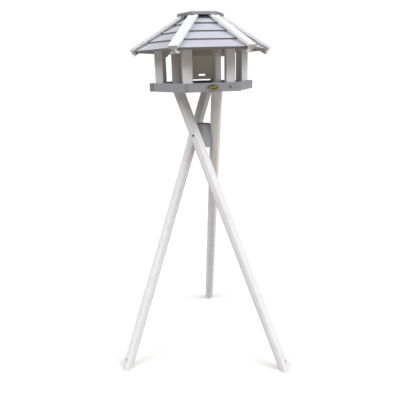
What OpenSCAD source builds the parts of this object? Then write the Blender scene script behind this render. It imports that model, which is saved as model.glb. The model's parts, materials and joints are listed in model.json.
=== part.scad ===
// Hexagonal bird feeding house on a crossed three-leg wooden stand.
// Millimetres, +Z up. The ground is z = 0 and the origin is the centre of the
// box round the three feet. The badge rail of the tray faces -Y.

/* [Tray] */
// Height of the tray's underside above the ground
tray_z = 1130; // [1100:5:1160]
// Distance from the house's axis to the outer face of a tray rail
rail_reach = 169; // [167:1:172]
// Height of a tray rail
rail_h = 30; // [26:1:34]
// Thickness of a tray rail
rail_t = 17; // [15:1:19]
// Thickness of the tray's floor panel
floor_t = 12; // [9:1:15]

/* [Posts] */
// Side of a square post
post_w = 32; // [28:1:34]
// Distance of a post from the middle of its rail
post_x = 75; // [72:1:76]

/* [Roof] */
// Slope of the roof's faces in degrees
roof_slope = 34; // [33:0.5:35]
// Distance from the house's axis to the lower edge of the roof boards
eave_reach = 216; // [212:1:220]
// Height of the top of the roof boards at that edge
eave_z = 1273.5; // [1268:0.5:1276]
// Width of each roof board that is left uncovered, along the slope
board_show = 51.5; // [50:0.5:52]
// Thickness of a roof board at its lower edge
board_t = 9; // [8.5:0.5:9]
// Height of the step where one board laps the next
board_step = 5.5; // [4:0.5:6]
// Width of a rafter's top flange
rafter_w = 34; // [33:1:38]
// Distance from the house's axis to a rafter's lower tip
rafter_reach = 264; // [258:1:266]

/* [Cap] */
// Height of the underside of the cap plate
cap_z = 1386.5; // [1385.5:0.5:1387.5]
// Thickness of the cap plate
cap_t = 11; // [8:0.5:16]
// Distance from the house's axis to a corner of the cap plate
cap_reach = 87; // [80:1:95]
// Diameter of the filling hole under the cap
fill_d = 66; // [56:1:68]

/* [Feed silo] */
// Outer width of the silo, across its two side walls
silo_w = 90; // [80:1:90]
// Outer depth of the silo, front to back
silo_depth = 86; // [76:1:86]
// How far the silo is turned from facing the badge rail, in degrees
silo_turn = -6; // [-10:1:10]
// Height of the feed gap under the front and back panels, above the floor panel
feed_gap = 28; // [20:1:32]
// Width of the sight slot in each panel
slot_w = 30; // [20:1:40]
// Height of the sight slot in each panel
slot_h = 8; // [6:0.5:10]

/* [Stand] */
// Width of an eight-sided leg across opposite faces
leg_w = 39; // [37:0.5:40]
// How far each corner of a leg's square outline is cut off, measured along a side
leg_chamfer = 11; // [9:0.5:12]
// Lean of a leg from the vertical in degrees
leg_lean = 21.6; // [20:0.2:22.4]
// Height at which the legs cross at the block
cross_z = 957; // [940:1:975]
// Width of the six-sided block across its flats
block_flats = 66; // [64:1:70]
// Height of the block
block_h = 90; // [80:1:110]
// Height of the leg screws above the middle of the block
leg_screw_up = 8; // [-10:1:10]
// Turn of the first leg's screwed face from facing -Y, in degrees
stand_turn = -34.4; // [-38:0.2:-30]
// Shift of the stand's axis from the house's axis, sideways
stand_shift_x = -6; // [-8:0.5:8]
// Shift of the stand's axis from the house's axis, front to back
stand_shift_y = 1; // [-8:0.5:8]
// Diameter of the ground peg hole near each foot
peg_d = 5.5; // [4:0.5:8]
// Distance of the upright peg hole from the foot's outer end, along the ground
peg_in = 18; // [15:0.5:22]
// Diameter of the two small blind holes in a leg's underside
pilot_d = 3; // [2:0.5:4]
// Distance from the foot to the lower of the two small holes, along the leg
pilot_up = 390; // [300:5:450]
// Distance between the two small holes
pilot_gap = 42; // [30:1:60]

/* [Badge] */
// Length of the oval badge
badge_l = 44; // [36:1:48]
// Height of the oval badge
badge_h = 22; // [18:1:24]
// Distance of the badge from the middle of the front rail
badge_x = 7.5; // [-10:0.5:15]

/* [Hidden] */
$fn = 64;
SIDES = 6;
WHITE = [0.93, 0.93, 0.92];
PALE_GREY = [0.78, 0.78, 0.83];
MID_GREY = [0.62, 0.62, 0.66];
OLIVE_GREY = [0.58, 0.58, 0.52];
STEEL = [0.35, 0.35, 0.36];
BRASS = [0.75, 0.62, 0.28];

fit = 0.2;          // gap between wooden faces that don't press on each other
big = 600;          // size of the blocks that trim ends
floor_top = tray_z + floor_t;
rail_in = rail_reach - rail_t;

// A rafter lies along a hip. Its heights are measured square to the hip, from
// the crest where two roof faces would meet. In that section the roof faces
// fall away at hip_fall on both sides.
hip_slope = atan(tan(roof_slope) * cos(30));
web_w = 11;
hip_fall = atan(tan(roof_slope) * sin(30) * cos(hip_slope));
flange_top = 11.5;
flange_bevel = 2;
rafter_under = 16.5;
rafter_foot_w = 32;
function crest_z(r) = eave_z + (eave_reach / cos(30) - r) * tan(hip_slope);

board_lap = 8;
board_rows = 4;
top_board_show = 41.5;
cap_bevel = 3;

crown_reach = 41;
crown_top = cap_z - 2;
silo_top = crown_top - 34;
plug_r = fill_d / 2 - 0.6;
plug_t = 16;

silo_wall = 8;
panel_t = 6;
panel_set = 2;      // how far a panel sits behind the edges of the side walls
panel_top = floor_top + 110;
header_t = 12;
slot_up = 10.5;     // bottom of a panel to the bottom of its slot

leg_reach = block_flats / 2 + leg_w / 2;
foot_x = cross_z * tan(leg_lean);
leg_head_x = -(tray_z - cross_z) * tan(leg_lean);

leg_screw_r = 2.5;
leg_screw_head_r = 4.6;
leg_screw_head_h = 3;
leg_screw_sink = 6;
leg_screw_l = 50;
pilot_depth = 12;
screw_r = 2;
screw_head_r = 4;
screw_head_h = 2.5;
screw_l = 35;
screw_gap = 0.1;
rail_screw_x = 69;

badge_t = 1.2;
badge_rim = 1.5;
badge_rim_h = 0.8;
badge_end_r = badge_h * 7 / 22;

// Angle of leg i's screwed face, and the middle of its foot on the ground
function leg_angle(i) = stand_turn + 120 * i;
function foot(i) = let (a = leg_angle(i)) [
    stand_shift_x + foot_x * cos(a) + leg_reach * sin(a),
    stand_shift_y + foot_x * sin(a) - leg_reach * cos(a)
];
// Half the width of a foot's eight-sided outline, measured at an angle to its long axis
function foot_half(a) = let (
    wide = leg_w / 2,
    narrow = leg_w / 2 - leg_chamfer,
    along = abs(cos(a)) / cos(leg_lean),
    across = abs(sin(a))
) max(wide * along + narrow * across, narrow * along + wide * across);
feet_x = [for (i = [0:2]) for (s = [-1, 1]) foot(i)[0] + s * foot_half(-leg_angle(i))];
feet_y = [for (i = [0:2]) for (s = [-1, 1]) foot(i)[1] + s * foot_half(90 - leg_angle(i))];
feet_mid = [(min(feet_x) + max(feet_x)) / 2, (min(feet_y) + max(feet_y)) / 2];

// Moves the house's axis to its place over the feet
module house() {
    translate([-feet_mid[0], -feet_mid[1], 0]) children();
}

// Moves the stand's axis to its place under the house
module stand() {
    house() translate([stand_shift_x, stand_shift_y, 0]) children();
}

// Turns a piece that is drawn facing -Y
module facing(angle) {
    rotate([0, 0, angle]) children();
}

// A block that trims everything above a plane, which rises towards +Y
module trim_above(reach, z, slope) {
    translate([0, -reach, z]) rotate([slope, 0, 0]) translate([-big / 2, -big / 2, 0]) cube(big);
}

// Square bar with its long edges cut off, standing on its lower end
module chamfered_bar(side, chamfer, length) {
    wide = side / 2;
    narrow = wide - chamfer;
    linear_extrude(length) polygon([
        [wide, narrow], [narrow, wide], [-narrow, wide], [-wide, narrow],
        [-wide, -narrow], [-narrow, -wide], [narrow, -wide], [wide, -narrow]
    ]);
}

// Countersunk screw along +Z with its head's flat face at z = 0
module countersunk_screw(gap) {
    cylinder(h = screw_head_h, r1 = screw_head_r + gap, r2 = screw_r + gap, $fn = 32);
    cylinder(h = screw_l + gap, r = screw_r + gap, $fn = 32);
}

// Places its children at the screw that holds a rail to its right-hand post
module at_rail_screw() {
    translate([rail_screw_x, -rail_reach, tray_z + rail_h / 2]) rotate([-90, 0, 0]) children();
}

// Places its children at each screw that holds the floor panel to a leg's head
module at_floor_screws() {
    for (i = [0:2])
        facing(leg_angle(i)) translate([leg_head_x, -leg_reach, floor_top]) rotate([180, 0, 0]) children();
}

// Screw along +Z that holds a leg to the block, with its head's top at z = 0
module leg_screw(gap) {
    cylinder(h = leg_screw_head_h, r = leg_screw_head_r + gap, $fn = 32);
    cylinder(h = leg_screw_l + gap, r = leg_screw_r + gap, $fn = 32);
}

// Places its children at leg screw i, inside the leg's counterbore
module at_leg_screw(i) {
    x = -leg_screw_up * tan(leg_lean);
    y = leg_screw_sink - leg_screw_head_h - leg_reach - leg_w / 2;
    facing(leg_angle(i)) translate([x, y, cross_z + leg_screw_up]) rotate([-90, 0, 0]) children();
}

module floor_panel() {
    color(PALE_GREY) difference() {
        house() translate([0, 0, tray_z]) cylinder(h = floor_t, r = (rail_in - fit) / cos(30), $fn = SIDES);
        stand() at_floor_screws() countersunk_screw(screw_gap);
    }
}

// Each rail runs past the next one's end at its right hand, and meets the
// inner face of the one at its left hand with an angled end.
module rail(i) {
    color(MID_GREY) house() facing(60 * i) difference() {
        translate([0, 0, tray_z]) linear_extrude(rail_h) polygon([
            [-tan(30) * (rail_reach - 2 * rail_t), -rail_reach],
            [tan(30) * (rail_reach + rail_t), -rail_reach],
            [tan(30) * (rail_reach + rail_t), -rail_in],
            [-tan(30) * rail_in, -rail_in]
        ]);
        if (i % 2 == 0) at_rail_screw() countersunk_screw(screw_gap);
    }
}

// Two posts stand behind every other rail, and each carries one rafter. The
// foot of a post is cut back where it would meet the next rail.
module post(i) {
    side = i % 2 == 0 ? -1 : 1;
    under = (rafter_under + fit / 2) / cos(hip_slope);
    color(WHITE) house() facing(120 * floor(i / 2)) difference() {
        translate([side * post_x - post_w / 2, -rail_in + fit, floor_top])
            cube([post_w, post_w - fit, crest_z(0) - floor_top]);
        facing(side * 30) trim_above(eave_reach, crest_z(eave_reach) - under, hip_slope);
        facing(side * 60) translate([-big / 2, -big, 0]) cube([big, big - rail_in + fit, tray_z + rail_h + fit]);
        at_rail_screw() countersunk_screw(screw_gap);
    }
}

// Depth of a groove's lower face, just under the roof boards that end in it
function groove_floor(x) = board_t / cos(hip_fall) + x * tan(hip_fall) + fit;

// Half of a rafter's section, from its top to its underside
half_rafter = [
    [rafter_w / 2, flange_top],
    [rafter_w / 2, flange_bevel],
    [rafter_w / 3, 0],
    [web_w / 2, 0],
    [web_w / 2, -groove_floor(web_w / 2)],
    [rafter_foot_w / 2, -groove_floor(rafter_foot_w / 2)],
    [rafter_foot_w / 2, -rafter_under]
];

// The groove on each side holds the ends of the roof boards.
module rafter(i) {
    tip_in = rafter_reach - flange_top * sin(hip_slope);
    count = len(half_rafter);
    section = concat(half_rafter, [for (k = [count - 1:-1:0]) [-half_rafter[k][0], half_rafter[k][1]]]);
    color(WHITE) house() facing(30 + 60 * i) difference() {
        translate([0, -tip_in, crest_z(tip_in)]) rotate([hip_slope, 0, 0])
            translate([0, rafter_reach, 0]) rotate([90, 0, 0]) linear_extrude(rafter_reach) polygon(section);
        trim_above(0, cap_z, 0);
        translate([-big / 2, -crown_reach, 0]) cube([big, big, 2 * cap_z]);
    }
}

// Section of a roof board, along the slope and square to it. A board narrows
// upwards to a tongue, which the next board covers with its rebated edge. The
// top board has no tongue.
function board_section(row) = let (
    last = row == board_rows - 1,
    show = last ? top_board_show : board_show,
    head = last ? 0 : -board_step,
    tongue = last ? 0 : board_lap
) concat(
    row == 0
        ? [[0, -board_t]]
        : [[board_lap + fit, -board_t], [board_lap + fit, fit - board_step], [0, fit - board_step]],
    [[0, 0], [show, head], [show + tongue, head], [show + tongue, -board_t]]
);

module roof_board(i, row) {
    gap = web_w / 2 + fit;
    color(PALE_GREY) house() facing(60 * i) intersection() {
        translate([0, -eave_reach, eave_z]) rotate([roof_slope, 0, 0]) translate([0, row * board_show, 0])
            rotate([90, 0, 90]) linear_extrude(2 * eave_reach, center = true) polygon(board_section(row));
        linear_extrude(2 * eave_z) polygon([
            [0, -2 * gap],
            [tan(30) * big - gap / cos(30), -big],
            [gap / cos(30) - tan(30) * big, -big]
        ]);
    }
}

// Six-sided ring under the cap: the rafters meet it, and seed is poured through it.
module crown_ring() {
    color(WHITE) house() translate([0, 0, silo_top]) difference() {
        rotate([0, 0, 30]) cylinder(h = crown_top - silo_top, r = crown_reach / cos(30), $fn = SIDES);
        translate([0, 0, -1]) cylinder(h = crown_top - silo_top + 2, d = fill_d);
    }
}

module cap_plate() {
    color(MID_GREY) house() translate([0, 0, cap_z]) {
        cylinder(h = cap_t - cap_bevel, r = cap_reach, $fn = SIDES);
        translate([0, 0, cap_t - cap_bevel])
            cylinder(h = cap_bevel, r1 = cap_reach, r2 = cap_reach - cap_bevel / cos(30), $fn = SIDES);
    }
}

module cap_plug() {
    color(MID_GREY) house() translate([0, 0, cap_z - plug_t]) cylinder(h = plug_t, r = plug_r);
}

module silo_wall_piece(side) {
    color(OLIVE_GREY) house() facing(silo_turn)
        translate([side * (silo_w - silo_wall) / 2 - silo_wall / 2, -silo_depth / 2, floor_top])
            cube([silo_wall, silo_depth, silo_top - floor_top]);
}

module silo_panel(angle) {
    width = silo_w - 2 * silo_wall;
    low = floor_top + feed_gap;
    color(OLIVE_GREY) house() facing(silo_turn + angle)
        translate([0, panel_set - silo_depth / 2, low]) difference() {
            translate([-width / 2, 0, 0]) cube([width, panel_t, panel_top - low]);
            translate([-slot_w / 2, -1, slot_up]) cube([slot_w, panel_t + 2, slot_h]);
        }
}

module silo_header(angle) {
    width = silo_w - 2 * silo_wall;
    color(OLIVE_GREY) house() facing(silo_turn + angle)
        translate([-width / 2, -silo_depth / 2, panel_top]) cube([width, header_t, silo_top - panel_top]);
}

module centre_block() {
    color(MID_GREY) stand() difference() {
        facing(leg_angle(0)) translate([0, 0, cross_z - block_h / 2])
            cylinder(h = block_h, r = block_flats / 2 / cos(30), $fn = SIDES);
        for (i = [0:2]) at_leg_screw(i) leg_screw(screw_gap);
    }
}

// A leg leans sideways, flat against its face of the block.
module leg(i) {
    below = cross_z / cos(leg_lean);
    color(WHITE) stand() difference() {
        intersection() {
            facing(leg_angle(i)) translate([0, -leg_reach, cross_z]) rotate([0, -leg_lean, 0]) difference() {
                translate([0, 0, -below - leg_w])
                    chamfered_bar(leg_w, leg_chamfer, below + tray_z - cross_z + 2 * leg_w);
                for (up = [pilot_up, pilot_up + pilot_gap])
                    translate([-leg_w, 0, up - below]) rotate([0, 90, 0])
                        cylinder(h = leg_w / 2 + pilot_depth, d = pilot_d, $fn = 24);
            }
            translate([-big, -big, 0]) cube([2 * big, 2 * big, tray_z]);
        }
        facing(leg_angle(i)) translate([foot_x + leg_w / 2 / cos(leg_lean) - peg_in, -leg_reach, -1])
            cylinder(h = peg_in / tan(leg_lean) + leg_w, d = peg_d, $fn = 32);
        at_leg_screw(i) leg_screw(screw_gap);
        at_leg_screw(i) translate([0, 0, -leg_w]) cylinder(h = leg_w + 1, r = leg_screw_head_r + screw_gap, $fn = 32);
        at_floor_screws() countersunk_screw(screw_gap);
    }
}

module leg_screws() {
    color(STEEL) stand() for (i = [0:2]) at_leg_screw(i) leg_screw(0);
}

module frame_screws() {
    color(STEEL) {
        house() for (i = [0:2]) facing(120 * i) at_rail_screw() countersunk_screw(0);
        stand() at_floor_screws() countersunk_screw(0);
    }
}

// Oval of four arcs, with round ends that meet flatter sides
module oval(length, height, end_r) {
    end_x = length / 2 - end_r;
    side_r = (end_x ^ 2 + (height / 2) ^ 2 - end_r ^ 2) / (height - 2 * end_r);
    side_y = side_r - height / 2;
    join_x = end_x * side_r / (side_r - end_r);
    intersection() {
        translate([0, side_y]) circle(side_r);
        translate([0, -side_y]) circle(side_r);
        square([2 * join_x, height], center = true);
    }
    for (s = [-1, 1]) translate([s * end_x, 0]) circle(end_r);
}

// Oval plate with a raised rim
module badge() {
    inner = 2 * badge_rim;
    color(BRASS) house() translate([badge_x, -rail_reach, tray_z + rail_h / 2]) rotate([90, 0, 0]) {
        linear_extrude(badge_t) oval(badge_l, badge_h, badge_end_r);
        translate([0, 0, badge_t]) linear_extrude(badge_rim_h) difference() {
            oval(badge_l, badge_h, badge_end_r);
            oval(badge_l - inner, badge_h - inner, badge_end_r - badge_rim);
        }
    }
}

floor_panel();
for (i = [0:5]) rail(i);
for (i = [0:5]) post(i);
for (i = [0:5]) rafter(i);
for (i = [0:5]) for (row = [0:3])
    roof_board(i, row);
crown_ring();
cap_plate();
cap_plug();
silo_wall_piece(-1);  // silo_wall_left
silo_wall_piece(1);  // silo_wall_right
silo_panel(0);  // silo_panel_front
silo_panel(180);  // silo_panel_back
silo_header(0);  // silo_header_front
silo_header(180);  // silo_header_back
centre_block();
for (i = [0:2]) leg(i);
leg_screws();
frame_screws();
badge();
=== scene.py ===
import json
import math
import random

import bmesh
import bpy
import numpy as np
from mathutils import Matrix, Vector

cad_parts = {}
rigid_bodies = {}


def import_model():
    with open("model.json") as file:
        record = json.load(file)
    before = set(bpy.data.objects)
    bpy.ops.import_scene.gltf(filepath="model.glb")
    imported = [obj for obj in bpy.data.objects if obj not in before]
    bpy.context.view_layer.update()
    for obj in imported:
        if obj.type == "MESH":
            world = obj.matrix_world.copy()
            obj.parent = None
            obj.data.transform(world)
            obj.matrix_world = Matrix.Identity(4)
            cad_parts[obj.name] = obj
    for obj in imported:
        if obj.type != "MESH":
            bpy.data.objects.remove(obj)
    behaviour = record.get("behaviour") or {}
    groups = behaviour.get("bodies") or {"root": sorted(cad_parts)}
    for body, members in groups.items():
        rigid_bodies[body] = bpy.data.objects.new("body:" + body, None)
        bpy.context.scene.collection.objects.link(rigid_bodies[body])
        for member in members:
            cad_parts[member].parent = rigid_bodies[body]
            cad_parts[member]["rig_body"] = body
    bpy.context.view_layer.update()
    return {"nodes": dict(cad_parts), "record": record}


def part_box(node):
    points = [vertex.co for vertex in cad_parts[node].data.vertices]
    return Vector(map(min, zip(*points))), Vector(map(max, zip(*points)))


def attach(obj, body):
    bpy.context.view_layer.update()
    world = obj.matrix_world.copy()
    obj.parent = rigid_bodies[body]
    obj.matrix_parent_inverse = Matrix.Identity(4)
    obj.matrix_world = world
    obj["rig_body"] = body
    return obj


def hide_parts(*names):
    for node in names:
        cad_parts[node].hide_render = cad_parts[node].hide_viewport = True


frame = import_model()
scene = bpy.context.scene

MM = 0.001
MERGE = 2e-6


# ------------------------------------------------------------ places and pieces
def centre(node):
    """The middle of a CAD node's box."""
    low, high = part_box(node)
    return (low + high) / 2


house_axis = centre("cap_plate")
stand_axis = centre("centre_block")


def cad_copy(node):
    """An editable copy of a CAD node's mesh, with its faces joined up."""
    bm = bmesh.new()
    bm.from_mesh(frame["nodes"][node].data)
    bmesh.ops.remove_doubles(bm, verts=bm.verts, dist=MERGE)
    return bm


def new_object(name, data):
    """A linked object that shows a mesh, a light or a camera."""
    made = bpy.data.objects.new(name, data)
    scene.collection.objects.link(made)
    return made


def new_piece(name, bm, material):
    """An object made from a finished bmesh, with one material."""
    mesh = bpy.data.meshes.new(name)
    bm.to_mesh(mesh)
    bm.free()
    mesh.materials.append(material)
    return new_object(name, mesh)


def clamp(value):
    return min(1.0, max(0.0, value))


# ---------------------------------------------------------------- material kit
MIX_SHARE, MIX_A, MIX_B, MIX_RESULT = 0, 6, 7, 2


class Shader:
    """A new material, and short calls that add nodes to it."""

    def __init__(self, name):
        self.material = bpy.data.materials.new(name)
        self.material.use_nodes = True
        self.tree = self.material.node_tree
        self.surface = self.tree.nodes["Principled BSDF"]

    def add(self, kind, inputs=None, **settings):
        node = self.tree.nodes.new(kind)
        for key, value in settings.items():
            setattr(node, key, value)
        for key, value in (inputs or {}).items():
            self.put(node.inputs[key], value)
        return node

    def put(self, socket, value):
        if isinstance(value, bpy.types.NodeSocket):
            self.tree.links.new(value, socket)
        else:
            socket.default_value = value

    def finish(self, inputs):
        """Puts values or other nodes' outputs on the surface shader, and gives the material."""
        for key, value in inputs.items():
            self.put(self.surface.inputs[key], value)
        return self.material

    def attribute(self, name, output="Fac"):
        return self.add("ShaderNodeAttribute", attribute_name=name).outputs[output]

    def scaled(self, vector, scale):
        return self.add("ShaderNodeMapping", {"Vector": vector, "Scale": scale}).outputs[0]

    def noise(self, vector, scale=1.0, detail=3.0, distortion=0.0):
        inputs = {"Vector": vector, "Scale": scale, "Detail": detail, "Roughness": 0.55,
                  "Distortion": distortion}
        return self.add("ShaderNodeTexNoise", inputs).outputs["Fac"]

    def ramp(self, value, low, high, out_low=0.0, out_high=1.0):
        inputs = {"Value": value, "From Min": low, "From Max": high, "To Min": out_low, "To Max": out_high}
        return self.add("ShaderNodeMapRange", inputs).outputs[0]

    def math(self, operation, a, b):
        return self.add("ShaderNodeMath", {0: a, 1: b}, operation=operation).outputs[0]

    def mix(self, share, a, b):
        inputs = {MIX_SHARE: share, MIX_A: a, MIX_B: b}
        return self.add("ShaderNodeMix", inputs, data_type="RGBA").outputs[MIX_RESULT]

    def bump(self, height, strength, distance):
        inputs = {"Height": height, "Strength": strength, "Distance": distance}
        return self.add("ShaderNodeBump", inputs).outputs[0]


# --------------------------------------------------------------- camera and stage
CAMERA_FROM_STAND = Vector((-0.2701, -1.5987))
CAMERA_HEIGHT = 1.2072
CAMERA_TURN, CAMERA_TILT, CAMERA_ROLL = -9.08, 72.24, -1.54
CAMERA_LENS, CAMERA_SENSOR = 36.9, 36
CAMERA_REACH = 60

WORLD_LIGHT, WORLD_SEEN = 0.03, 1.05
FLOOR_REACH = 25
FLOOR_LIFT = 0.12
FLOOR_SEEN = (0.92, 0.915, 0.885, 1)
FLOOR_BOUNCE = (0.43, 0.39, 0.35, 1)

LAMP_COLOUR = (0.965, 0.97, 1.0)
LAMP_SPREAD = 45
LAMPS = [
    ("key", 47, 50, 2.16),
    ("second", -44, 50, 1.05),
    ("left_side", -75, 40, 1.4),
    ("right_side", 75, 12, 0.98),
]


def add_camera():
    """A camera where the photograph was taken from."""
    data = bpy.data.cameras.new("camera")
    data.lens = CAMERA_LENS
    data.sensor_width = CAMERA_SENSOR
    data.clip_end = CAMERA_REACH
    camera = new_object("camera", data)
    place = stand_axis.xy + CAMERA_FROM_STAND
    turn = Matrix.Rotation(math.radians(CAMERA_TURN), 4, "Z")
    tilt = Matrix.Rotation(math.radians(CAMERA_TILT), 4, "X")
    roll = Matrix.Rotation(math.radians(CAMERA_ROLL), 4, "Z")
    camera.matrix_world = Matrix.Translation((place.x, place.y, CAMERA_HEIGHT)) @ turn @ tilt @ roll
    scene.camera = camera


def add_lamp(name, azimuth, elevation, strength):
    """A soft light so far away that it lights everything evenly. It shines from a direction, in degrees."""
    light = bpy.data.lights.new(name, "SUN")
    light.color = LAMP_COLOUR
    light.angle = math.radians(LAMP_SPREAD)
    light.energy = strength
    a, e = math.radians(azimuth), math.radians(elevation)
    away = Vector((math.sin(a) * math.cos(e), -math.cos(a) * math.cos(e), math.sin(e)))
    new_object(name, light).rotation_euler = away.to_track_quat("Z", "Y").to_euler()


def add_world():
    """White for the camera, and a much dimmer white that lights the object."""
    world = bpy.data.worlds.new("studio")
    world.use_nodes = True
    scene.world = world
    tree = world.node_tree
    tree.nodes.clear()
    out = tree.nodes.new("ShaderNodeOutputWorld")
    mix = tree.nodes.new("ShaderNodeMixShader")
    path = tree.nodes.new("ShaderNodeLightPath")
    tree.links.new(path.outputs["Is Camera Ray"], mix.inputs["Fac"])
    for slot, strength in ((1, WORLD_LIGHT), (2, WORLD_SEEN)):
        background = tree.nodes.new("ShaderNodeBackground")
        background.inputs["Color"].default_value = (1, 1, 1, 1)
        background.inputs["Strength"].default_value = strength
        tree.links.new(background.outputs[0], mix.inputs[slot])
    tree.links.new(mix.outputs[0], out.inputs["Surface"])


def add_floor():
    """A wide floor. The camera sees it white, as in a studio picture, and it throws back less light."""
    r = FLOOR_REACH
    mesh = bpy.data.meshes.new("floor")
    mesh.from_pydata([(-r, -r, 0), (r, -r, 0), (r, r, 0), (-r, r, 0)], [], [(0, 1, 2, 3)])
    s = Shader("floor_white")
    seen = s.add("ShaderNodeLightPath").outputs["Is Camera Ray"]
    mesh.materials.append(s.finish({
        "Roughness": 0.9,
        "Base Color": s.mix(seen, FLOOR_BOUNCE, FLOOR_SEEN),
        "Emission Color": (1, 1, 1, 1),
        "Emission Strength": s.math("MULTIPLY", seen, FLOOR_LIFT),
    }))
    new_object("floor", mesh)


# ------------------------------------------------------------------- materials
# Noise scales are in cycles per metre along, across and through the grain.
FIBRES = (16, 520, 520)
BANDS = (2.2, 95, 95)
BRUSH = (9, 900, 900)
PATCHES = (7, 16, 16)
DUST = (240, 420, 420)
KNOTS = (5.5, 9, 9)
RINGS = (60, 260, 260)
RUBBING = (40, 160, 160)
SCRATCHES = (300, 4200, 4200)

BORE_PAINTED_SHADE = (0.03, 0.026, 0.022, 1)
SOFFIT_PAINTED_SHADE = (0.15, 0.145, 0.13, 1)
ZINC_PALE, ZINC_DULL = (0.33, 0.33, 0.34, 1), (0.2, 0.2, 0.21, 1)
RECESS_PAINTED_SHADE = (0.03, 0.03, 0.03, 1)
BRASS_PALE, BRASS_DEEP = (0.80, 0.72, 0.40, 1), (0.56, 0.50, 0.24, 1)
BRASS_BAND = (0.52, 0.50, 0.29, 1)
BRASS_EDGE_SHADE = (0.15, 0.135, 0.07, 1)
HOLLOW_DARK, HOLLOW_PALE = (0.08, 0.07, 0.03, 1), (0.17, 0.15, 0.06, 1)


def tone(colour, factor):
    """A colour with full alpha, made darker or lighter by a factor."""
    return tuple(min(1.0, c * factor) for c in colour) + (1.0,)


def painted_wood(name, paint, wood, roughness, grain=1.0, knots=1.0):
    """Brushed paint on planed wood. It reads where a point is along and across the grain in metres."""
    s = Shader(name)
    place = s.attribute("grain_place", "Vector")
    fibres = s.noise(s.scaled(place, FIBRES), detail=4)
    bands = s.noise(s.scaled(place, BANDS), detail=2, distortion=0.4)
    brush = s.noise(s.scaled(place, BRUSH), detail=2)
    patches = s.noise(s.scaled(place, PATCHES))
    dust = s.noise(s.scaled(place, DUST), detail=2)

    knot_at = s.add("ShaderNodeTexVoronoi", {"Vector": s.scaled(place, KNOTS), "Scale": 1.0})
    knot = s.ramp(knot_at.outputs["Distance"], 0.06, 0.1, 0.55 * knots, 0.0)

    grain_line = s.ramp(bands, 0.52, 0.68, 0.0, 0.10 * grain)
    pore = s.ramp(fibres, 0.58, 0.72, 0.0, 0.16 * grain)
    colour = s.mix(s.ramp(patches, 0.35, 0.7), tone(paint, 1.015), tone(paint, 0.955))
    colour = s.mix(grain_line, colour, tone(wood, 1.0))
    colour = s.mix(pore, colour, tone(wood, 0.62))
    colour = s.mix(knot, colour, tone(wood, 0.8))
    colour = s.mix(s.ramp(dust, 0.62, 0.78, 0.0, 0.12), colour, tone(paint, 0.7))

    end = s.attribute("end_grain")
    rings = s.ramp(s.noise(s.scaled(place, RINGS), distortion=1.2), 0.4, 0.62)
    colour = s.mix(s.math("MULTIPLY", end, s.ramp(rings, 0, 1, 0.3, 0.62)), colour, tone(wood, 0.52))

    # Painted shade: the insides of the drilled holes are coloured nearly black.
    colour = s.mix(s.math("MULTIPLY", s.attribute("bore_painted_shade"), 0.9), colour, BORE_PAINTED_SHADE)
    # Painted shade: faces under the roof, on the boards' undersides and the rafters, are coloured dark.
    colour = s.mix(s.math("MULTIPLY", s.attribute("soffit_painted_shade"), 0.75), colour, SOFFIT_PAINTED_SHADE)
    rubbed = s.ramp(s.noise(s.scaled(place, RUBBING)), 0.5, 0.66, 0.0, 0.5)
    rubbed = s.math("MULTIPLY", s.attribute("worn_edge"), rubbed)
    colour = s.mix(rubbed, colour, tone(wood, 0.9))

    gloss = s.math("ADD", patches, s.math("MULTIPLY", dust, 0.5))
    gloss = s.ramp(gloss, 0.5, 1.1, roughness - 0.07, roughness + 0.09)
    gloss = s.math("ADD", gloss, s.math("MULTIPLY", end, 0.2))

    height = s.math("ADD", s.math("MULTIPLY", fibres, 0.55), s.math("MULTIPLY", brush, 0.3))
    height = s.math("ADD", height, s.math("MULTIPLY", bands, 0.7))
    height = s.math("SUBTRACT", height, s.math("MULTIPLY", knot, 0.4))
    normal = s.bump(height, 0.55 * grain, 0.35 * MM)
    return s.finish({"Base Color": colour, "Roughness": gloss, "Normal": normal, "Specular IOR Level": 0.4})


def zinc_steel():
    """Dull zinc plate with fine scratches, and painted shade in the heads' cross recesses."""
    s = Shader("zinc_steel")
    place = s.add("ShaderNodeTexCoord").outputs["Object"]
    cloud = s.noise(place, 900)
    scratch = s.noise(s.scaled(place, SCRATCHES), detail=2)
    colour = s.mix(s.ramp(cloud, 0.35, 0.7), ZINC_PALE, ZINC_DULL)
    # Painted shade: the cross recess in each head is coloured nearly black.
    colour = s.mix(s.attribute("recess_painted_shade"), colour, RECESS_PAINTED_SHADE)
    gloss = s.ramp(scratch, 0.3, 0.7, 0.34, 0.52)
    normal = s.bump(scratch, 0.25, 0.05 * MM)
    return s.finish({"Base Color": colour, "Roughness": gloss, "Normal": normal, "Metallic": 1.0})


def badge_brass():
    """Stamped brass: bright where it is raised, a duller band inside the rim, dark in the hollows, and a
    painted shadow line round the outer edge.
    """
    s = Shader("badge_brass")
    place = s.add("ShaderNodeTexCoord").outputs["Object"]
    raised = s.attribute("raised")
    grit = s.noise(place, 1800, detail=4)
    cloud = s.noise(place, 260)
    bright = s.mix(s.ramp(cloud, 0.35, 0.7), BRASS_PALE, BRASS_DEEP)
    hollow = s.mix(s.ramp(grit, 0.35, 0.7), HOLLOW_DARK, HOLLOW_PALE)
    field = s.mix(s.attribute("dark_middle"), BRASS_BAND, hollow)
    colour = s.mix(raised, field, bright)
    # Painted shadow: a dark line round the badge's outer edge, where it meets the rail.
    colour = s.mix(s.attribute("edge_painted_shade"), colour, BRASS_EDGE_SHADE)
    gloss = s.ramp(s.math("ADD", raised, grit), 0.3, 1.5, 0.6, 0.28)
    normal = s.bump(grit, 0.3, 0.06 * MM)
    return s.finish({"Base Color": colour, "Roughness": gloss, "Normal": normal, "Metallic": 1.0})


# -------------------------------------------------------------------- wooden pieces
FLAT = math.radians(1)
SHARP = math.radians(25)
SMOOTH = math.radians(40)
LONG_EDGE = 4 * MM
WIDE_FACE = 60 * MM * MM
SOFFIT_REACH = 246 * MM
UNDER_GROOVE = 20 * MM


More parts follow.
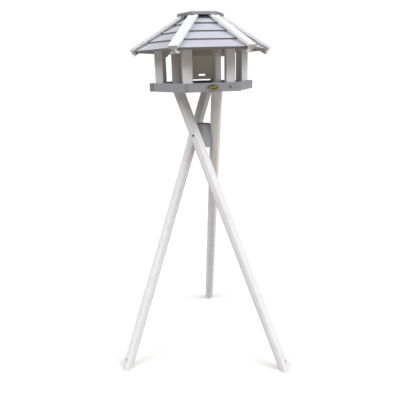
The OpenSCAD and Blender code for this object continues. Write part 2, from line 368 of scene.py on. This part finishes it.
def is_cut_edge(edge):
    """True at the sharp edges of a piece, apart from the rims of its small round holes."""
    if len(edge.link_faces) != 2 or edge.calc_face_angle() < SHARP:
        return False
    return edge.calc_length() > LONG_EDGE or min(f.calc_area() for f in edge.link_faces) > WIDE_FACE


def grain_axes(bm, along):
    """Directions along, across and through the grain. It runs along the longest edge, unless one is given."""
    if along is None:
        longest = max(bm.edges, key=lambda e: round(e.calc_length(), 5))
        along = longest.verts[1].co - longest.verts[0].co
    along = Vector(along).normalized()
    flat = [f for f in bm.faces if abs(f.normal.dot(along)) < 0.3]
    through = max(flat, key=lambda f: round(f.calc_area(), 8)).normal
    across = through.cross(along).normalized()
    return along, across, along.cross(across)


def mark_soffit_painted_shade(bm, node, along):
    """Marks painted shade under the roof: dark colour on the boards' undersides, and on the rafters below
    their grooves.
    """
    soffit_painted_shade = bm.faces.layers.float.new("soffit_painted_shade")
    if node.startswith("roof_board"):
        for face in bm.faces:
            face[soffit_painted_shade] = 1.0 if face.normal.z < -0.5 else 0.0
    elif node.startswith("rafter"):
        axis = Vector((house_axis.x, house_axis.y, 0))
        outward = Vector((along.x, along.y, 0)).normalized()
        outward *= math.copysign(1, outward.dot(centre(node) - axis))
        everything = bm.verts[:] + bm.edges[:] + bm.faces[:]
        bmesh.ops.bisect_plane(bm, geom=everything, dist=1e-6, plane_co=axis + outward * SOFFIT_REACH,
                               plane_no=outward)
        up = along.cross(Vector((0, 0, 1))).cross(along).normalized()
        top = max(up.dot(v.co) for v in bm.verts)
        for face in bm.faces:
            middle = face.calc_center_median()
            inside = (middle - axis).dot(outward) < SOFFIT_REACH
            face[soffit_painted_shade] = 1.0 if inside and top - up.dot(middle) > UNDER_GROOVE else 0.0


def wood_piece(node, material, edge, along, drilled):
    """A finished copy of a wooden CAD node: eased edges, and its own place in the wood's grain."""
    bm = cad_copy(node)
    bmesh.ops.dissolve_limit(bm, angle_limit=FLAT, verts=bm.verts, edges=bm.edges)
    bm.normal_update()
    along, across, through = grain_axes(bm, along)
    worn = bm.faces.layers.float.new("worn_edge")
    end = bm.faces.layers.float.new("end_grain")
    place = bm.verts.layers.float_vector.new("grain_place")
    bore_painted_shade = bm.faces.layers.float.new("bore_painted_shade")
    mark_soffit_painted_shade(bm, node, along)
    # The small faces of a drilled leg's holes are marked for painted shade.
    for face in bm.faces:
        face[bore_painted_shade] = 1.0 if drilled and face.calc_area() < WIDE_FACE else 0.0

    cut = [e for e in bm.edges if is_cut_edge(e)]
    eased = bmesh.ops.bevel(bm, geom=cut, offset=edge, segments=3, profile=0.5, affect="EDGES",
                            clamp_overlap=True)
    for face in eased["faces"]:
        face[worn] = 1.0
    bm.normal_update()
    for face in bm.faces:
        face[end] = 1.0 if abs(face.normal.dot(along)) > 0.8 else 0.0
        face.smooth = True
    for e in bm.edges:
        e.smooth = len(e.link_faces) == 2 and e.calc_face_angle() < SMOOTH
    draw = random.Random(node)
    shift = Vector((draw.uniform(0, 9), draw.uniform(0, 3), draw.uniform(0, 3)))
    for v in bm.verts:
        v[place] = Vector((along.dot(v.co), across.dot(v.co), through.dot(v.co))) + shift

    piece = new_piece(node + "_wood", bm, material)
    piece.modifiers.new("even_shading", "WEIGHTED_NORMAL").keep_sharp = True
    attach(piece, frame["nodes"][node]["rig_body"])
    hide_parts(node)
    return piece


# --------------------------------------------------------------------------- screws
SCREW_STEPS = 64
SCREW_SMOOTH = math.radians(35)
HEAD_RINGS = 20
HEAD_HEIGHT = {"countersunk": 2.5 * MM, "pan": 3 * MM}
HEAD_CROWN = {"countersunk": 0.04, "pan": 0.28}
SHANK_R = {"countersunk": 2.0 * MM, "pan": 2.5 * MM}
POINT_LENGTH, POINT_FLAT = 4 * MM, 0.2 * MM


def islands(node):
    """The separate solids of a CAD node, each as an array of its points."""
    bm = cad_copy(node)
    left, found = set(bm.verts), []
    while left:
        start = min(left, key=lambda v: v.index)
        group, queue = {start}, [start]
        while queue:
            for e in queue.pop().link_edges:
                for v in e.verts:
                    if v not in group:
                        group.add(v)
                        queue.append(v)
        left -= group
        found.append(np.array([v.co for v in sorted(group, key=lambda v: v.index)]))
    bm.free()
    return found


def screw_place(points):
    """A screw's head centre, its direction into the wood, its head's radius and its length."""
    middle = (points.max(0) + points.min(0)) / 2
    axis = np.linalg.svd(points - points.mean(0), full_matrices=False)[2][0]
    along = (points - middle) @ axis
    off = np.linalg.norm(points - middle - np.outer(along, axis), axis=1)
    if along[off.argmax()] > 0:
        axis, along = -axis, -along
    top = middle + axis * along.min()
    return Vector(top), Vector(axis), float(off.max()), float(np.ptp(along))


def screw_profile(head, head_r, length):
    """A screw's outline from head to point: radius, depth, and whether it is on the head's top."""
    crown, head_h, shank_r = HEAD_CROWN[head] * head_r, HEAD_HEIGHT[head], SHANK_R[head]
    radii = [head_r * k / HEAD_RINGS for k in range(1, HEAD_RINGS + 1)]
    profile = [(r, crown * (r / head_r) ** 3, True) for r in radii]
    if head == "pan":
        profile.append((head_r, head_h, False))
    profile.append((shank_r, head_h, False))
    profile.append((shank_r, length - POINT_LENGTH, False))
    profile.append((0.2 * shank_r, length - POINT_FLAT, False))
    return profile


def screw_part(bm, recess_painted_shade, points, head):
    """One cross-recessed screw in the place of a CAD one."""
    top, axis, head_r, length = screw_place(points)
    turn = axis.to_track_quat("Z", "Y").to_matrix().to_4x4()
    spin = random.Random(round(top.x, 4)).uniform(0, 1.5)
    move = Matrix.Translation(top) @ turn @ Matrix.Rotation(spin, 4, "Z")
    arm, arm_half, depth = 0.55 * head_r, 0.13 * head_r, 0.4 * head_r
    rows = []
    for r, z, on_top in screw_profile(head, head_r, length):
        row = []
        for k in range(SCREW_STEPS):
            a = 2 * math.pi * k / SCREW_STEPS
            x, y = r * math.cos(a), r * math.sin(a)
            # Points inside the cross recess are marked for painted shade.
            inside = on_top and r < arm and min(abs(x), abs(y)) < arm_half
            v = bm.verts.new(move @ Vector((x, y, z + (depth * (1 - 0.5 * r / arm) if inside else 0))))
            v[recess_painted_shade] = 1.0 if inside else 0.0
            row.append(v)
        rows.append(row)
    middle = bm.verts.new(move @ Vector((0, 0, depth)))
    middle[recess_painted_shade] = 1.0
    tip = bm.verts.new(move @ Vector((0, 0, length)))
    for k in range(SCREW_STEPS):
        n = (k + 1) % SCREW_STEPS
        bm.faces.new((middle, rows[0][n], rows[0][k]))
        bm.faces.new((tip, rows[-1][k], rows[-1][n]))
        for a, b in zip(rows, rows[1:]):
            bm.faces.new((a[k], a[n], b[n], b[k]))


def screws(node, material, head):
    """All the screws of a CAD node, with cross recesses in their heads."""
    bm = bmesh.new()
    recess_painted_shade = bm.verts.layers.float.new("recess_painted_shade")
    for points in islands(node):
        screw_part(bm, recess_painted_shade, points, head)
    bmesh.ops.recalc_face_normals(bm, faces=bm.faces)
    for e in bm.edges:
        e.smooth = e.calc_face_angle(0) < SCREW_SMOOTH
    for f in bm.faces:
        f.smooth = True
    piece = new_piece(node + "_crosshead", bm, material)
    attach(piece, "root")
    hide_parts(node)


# ---------------------------------------------------------------------------- badge
BADGE_STEPS, BADGE_RINGS = 224, 72
BADGE_SMOOTH = math.radians(50)
BADGE_END_R = 7 * MM
BADGE_RIM, BADGE_SLOPE = 1.5 * MM, 0.4 * MM
BADGE_BAND, BADGE_BLEND = 3.4 * MM, 1.2 * MM
BADGE_LINE = 0.8 * MM
BADGE_FIELD = 0.48
BADGE_RELIEF = 0.8
STEM_HALF, STEM_BOW, STEM_BEND, STEM_WIDE = 14 * MM, 1.6 * MM, 1.4, 0.5 * MM
LEAF_LENGTH, LEAF_WIDTH, LEAF_STEP = 5.0 * MM, 2.0 * MM, 4.4 * MM
LEAF_ANGLE, LEAF_LEAN = math.radians(48), 0.12
TIP_LEAF = STEM_HALF - 1.5 * MM


def oval_arcs(half_l, half_h):
    """The arcs of the badge: how far out its ends are centred, and its sides' radius and offset."""
    end_x = half_l - BADGE_END_R
    side_r = (end_x ** 2 + half_h ** 2 - BADGE_END_R ** 2) / (2 * (half_h - BADGE_END_R))
    return end_x, side_r, side_r - half_h


def oval_point(half_l, half_h, turn):
    """A point on the outline of the badge: round ends that meet flatter sides. turn goes from 0 to 1."""
    end_x, side_r, side_y = oval_arcs(half_l, half_h)
    meet = math.atan2(side_y, end_x)
    quarter, share = divmod(turn * 4, 1)
    if quarter % 2:
        share = 1 - share
    if share < 0.5:
        a = meet * share * 2
        x, y = end_x + BADGE_END_R * math.cos(a), BADGE_END_R * math.sin(a)
    else:
        a = meet + (math.pi / 2 - meet) * (share - 0.5) * 2
        x, y = side_r * math.cos(a), side_r * math.sin(a) - side_y
    return (-x if quarter in (1, 2) else x), (-y if quarter in (2, 3) else y)


def oval_depth(half_l, half_h, x, y):
    """How far a point is inside the badge's outline."""
    end_x, side_r, side_y = oval_arcs(half_l, half_h)
    x, y = abs(x), abs(y)
    if (x - end_x) * side_y > y * end_x:
        return BADGE_END_R - math.hypot(x - end_x, y)
    return side_r - math.hypot(x, y + side_y)


def stem_y(x):
    """Where the sprig's bowed stem runs."""
    return STEM_BOW * math.sin(x / STEM_HALF * STEM_BEND)


def sprig_height(x, y):
    """Height from 0 to 1 of a plain sprig: a bowed stem with paired leaves and one at its tip."""
    best = 0.0
    if abs(x) < STEM_HALF:
        best = max(0.0, 0.75 - abs(y - stem_y(x)) / STEM_WIDE)
    leaves = [(k * LEAF_STEP, side) for k in range(-3, 3) for side in (-1, 1)] + [(TIP_LEAF, 0)]
    for base_x, side in leaves:
        angle = LEAF_ANGLE * side + LEAF_LEAN
        dx, dy = x - base_x, y - stem_y(base_x)
        u = (dx * math.cos(angle) + dy * math.sin(angle)) / LEAF_LENGTH
        v = (dy * math.cos(angle) - dx * math.sin(angle)) / LEAF_WIDTH
        if 0 < u < 1:
            half = 0.5 * math.sin(math.pi * u ** 0.8)
            if abs(v) < half:
                swell = math.sqrt(1 - (v / half) ** 2)
                vein = 0.35 * max(0.0, 1 - abs(v) / 0.09)
                best = max(best, 0.35 + 0.65 * swell - vein)
    return best


def make_badge(material):
    """An oval brass plate with a raised rim and a sprig of leaves, in the CAD badge's box."""
    low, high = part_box("badge")
    middle = (low + high) / 2
    half_l, half_h = (high.x - low.x) / 2, (high.z - low.z) / 2
    thick = high.y - low.y
    field = thick * BADGE_FIELD
    bm = bmesh.new()
    raised = bm.verts.layers.float.new("raised")
    dark_middle = bm.verts.layers.float.new("dark_middle")
    edge_painted_shade = bm.verts.layers.float.new("edge_painted_shade")

    def vertex(x, y, height, value):
        v = bm.verts.new((middle.x + x, high.y - height, middle.z + y))
        v[raised] = value
        depth = oval_depth(half_l, half_h, x, y)
        v[dark_middle] = clamp((depth - BADGE_BAND) / BADGE_BLEND)
        # Painted shadow: dark near the outline of the badge.
        v[edge_painted_shade] = clamp(1.6 - depth / BADGE_LINE)
        return v

    rows = []
    for j in range(1, BADGE_RINGS + 1):
        t = j / BADGE_RINGS
        row = []
        for k in range(BADGE_STEPS):
            x, y = oval_point(half_l, half_h, k / BADGE_STEPS)
            x, y = x * t, y * t
            depth = oval_depth(half_l, half_h, x, y)
            if j == BADGE_RINGS:
                form = 0.0
            elif depth > BADGE_RIM:
                form = BADGE_RELIEF * sprig_height(x, y)
            else:
                form = clamp(depth / BADGE_SLOPE) * clamp((BADGE_RIM - depth) / BADGE_SLOPE)
            row.append(vertex(x, y, field + (thick - field) * form, min(1.0, form * 1.6)))
        rows.append(row)
    back = [vertex(*oval_point(half_l, half_h, k / BADGE_STEPS), 0, 0.6) for k in range(BADGE_STEPS)]
    hub = vertex(0, 0, field + (thick - field) * BADGE_RELIEF * sprig_height(0, 0), 1.0)
    rows.append(back)
    for k in range(BADGE_STEPS):
        n = (k + 1) % BADGE_STEPS
        bm.faces.new((hub, rows[0][k], rows[0][n]))
        for a, b in zip(rows, rows[1:]):
            bm.faces.new((a[k], b[k], b[n], a[n]))
    bm.faces.new(back)
    bmesh.ops.recalc_face_normals(bm, faces=bm.faces)
    for f in bm.faces:
        f.smooth = len(f.verts) < 5
    for e in bm.edges:
        e.smooth = e.calc_face_angle(0) < BADGE_SMOOTH
    piece = new_piece("badge_relief", bm, material)
    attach(piece, "root")
    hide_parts("badge")


# -------------------------------------------------------------------- the whole thing
PALE_WOOD = (0.58, 0.55, 0.52)
GREY_WOOD = (0.26, 0.25, 0.24)
SILO_WOOD = (0.45, 0.43, 0.32)

PAINTS = {
    "white_paint": painted_wood("white_paint_wood", (0.88, 0.88, 0.88), PALE_WOOD, 0.42, knots=0.3),
    "roof_paint": painted_wood("roof_paint_wood", (0.575, 0.58, 0.64), GREY_WOOD, 0.48, knots=0.1),
    "grey_paint": painted_wood("grey_paint_wood", (0.36, 0.363, 0.385), GREY_WOOD, 0.46, knots=0.3),
    "silo_wood": painted_wood("silo_board", (0.82, 0.80, 0.65), SILO_WOOD, 0.6, grain=0.7, knots=0.0),
}
# A darker copy of the silo paint for the header boards: painted shade from the eave above them.
SILO_HEADER_PAINTED_SHADE = painted_wood("silo_board_painted_shade", (0.56, 0.56, 0.47), SILO_WOOD, 0.6, grain=0.7, knots=0.0)
EDGE = {"white_paint": 1.0 * MM, "roof_paint": 0.8 * MM, "grey_paint": 1.2 * MM, "silo_wood": 0.6 * MM}
LEG_EDGE = 2.0 * MM
GRAIN = {"cap_plug": (1, 0, 0)}


def build():
    add_camera()
    add_world()
    add_floor()
    for lamp in LAMPS:
        add_lamp(*lamp)
    for part in frame["record"]["subparts"]:
        node, slot = part["node"], part["material_slot"]
        if slot in PAINTS:
            is_leg = node.startswith("leg_")
            edge = LEG_EDGE if is_leg else EDGE[slot]
            # Painted shade: the silo's header boards take the darker copy of the silo paint.
            paint = SILO_HEADER_PAINTED_SHADE if node.startswith("silo_header") else PAINTS[slot]
            wood_piece(node, paint, edge, GRAIN.get(node), is_leg)
    steel = zinc_steel()
    screws("leg_screws", steel, "pan")
    screws("frame_screws", steel, "countersunk")
    make_badge(badge_brass())
    scene.view_settings.view_transform = "Standard"


build()
